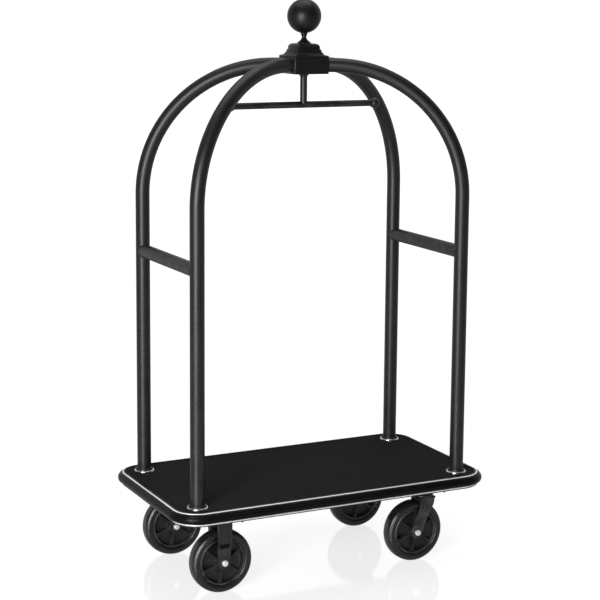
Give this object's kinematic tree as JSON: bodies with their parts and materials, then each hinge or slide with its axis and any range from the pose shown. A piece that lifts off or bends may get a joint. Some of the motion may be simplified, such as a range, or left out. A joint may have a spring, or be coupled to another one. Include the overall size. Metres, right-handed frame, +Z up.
{
  "type": "hotel luggage cart",
  "caption": "Birdcage luggage cart: bent tubes on a carpeted deck with a bumper, end rails, a crown with a ball finial, a hanging bar, and fixed and swivelling casters.",
  "frame": {"origin": "centre of the deck at floor level, under the crown", "axes": "+X along the deck towards the swivelling casters, +Y across the deck to the back side, +Z up"},
  "size_m": [1.1, 0.608, 1.8145],
  "materials": {
    "black_paint": "satin",
    "carpet": "matte",
    "rubber": "satin",
    "tyre": "matte",
    "plywood": "matte",
    "bright_metal": "polished",
    "zinc": "satin",
    "fork_paint": "satin",
    "hub_plastic": "satin"
  },
  "bodies": {
    "cart": {"deck_board": "plywood", "deck_carpet": "carpet", "under_frame": "black_paint", "edge_channel": "bright_metal", "bumper": "rubber", "post_collar_BL": "black_paint", "post_ring_BL": "bright_metal", "post_bolt_BL": "zinc", "arch_tube_BL": "black_paint", "post_collar_FL": "black_paint", "post_ring_FL": "bright_metal", "post_bolt_FL": "zinc", "arch_tube_FL": "black_paint", "post_collar_BR": "black_paint", "post_ring_BR": "bright_metal", "post_bolt_BR": "zinc", "arch_tube_BR": "black_paint", "post_collar_FR": "black_paint", "post_ring_FR": "bright_metal", "post_bolt_FR": "zinc", "arch_tube_FR": "black_paint", "end_rail_L": "black_paint", "end_rail_R": "black_paint", "crown_box": "black_paint", "crown_cap": "black_paint", "finial_stem": "black_paint", "finial_ball": "black_paint", "hanger_bar": "black_paint", "hanger_drop": "black_paint", "bar_knob_R": "black_paint", "bar_knob_L": "black_paint", "fixed_fork_FL": "fork_paint", "fixed_fork_BL": "fork_paint", "swivel_plate_FR": "zinc", "king_bolt_FR": "zinc", "swivel_plate_BR": "zinc", "king_bolt_BR": "zinc", "axle_bolt_FL": "zinc", "axle_nut_FL": "zinc", "axle_bolt_BL": "zinc", "axle_nut_BL": "zinc"},
    "swivel_FR": {"swivel_fork_FR": "fork_paint", "axle_bolt_FR": "zinc", "axle_nut_FR": "zinc"},
    "swivel_BR": {"swivel_fork_BR": "fork_paint", "axle_bolt_BR": "zinc", "axle_nut_BR": "zinc"},
    "wheel_FL": {"wheel_hub_FL": "hub_plastic", "wheel_tyre_FL": "tyre"},
    "wheel_BL": {"wheel_hub_BL": "hub_plastic", "wheel_tyre_BL": "tyre"},
    "wheel_FR": {"wheel_hub_FR": "hub_plastic", "wheel_tyre_FR": "tyre"},
    "wheel_BR": {"wheel_hub_BR": "hub_plastic", "wheel_tyre_BR": "tyre"}
  },
  "joints": [
    {"name": "swivel_FR", "type": "hinge", "parent": "cart", "child": "swivel_FR", "pos_m": [0.351, -0.195, 0.2], "axis": [0, 0, 1], "continuous": true},
    {"name": "swivel_BR", "type": "hinge", "parent": "cart", "child": "swivel_BR", "pos_m": [0.351, 0.195, 0.2], "axis": [0, 0, 1], "continuous": true},
    {"name": "spin_FL", "type": "hinge", "parent": "cart", "child": "wheel_FL", "pos_m": [-0.373, -0.195, 0.1], "axis": [0, 1, 0], "continuous": true},
    {"name": "spin_BL", "type": "hinge", "parent": "cart", "child": "wheel_BL", "pos_m": [-0.373, 0.195, 0.1], "axis": [0, 1, 0], "continuous": true},
    {"name": "spin_FR", "type": "hinge", "parent": "swivel_FR", "child": "wheel_FR", "pos_m": [0.313, -0.195, 0.1], "axis": [0, 1, 0], "continuous": true},
    {"name": "spin_BR", "type": "hinge", "parent": "swivel_BR", "child": "wheel_BR", "pos_m": [0.313, 0.195, 0.1], "axis": [0, 1, 0], "continuous": true}
  ]
}
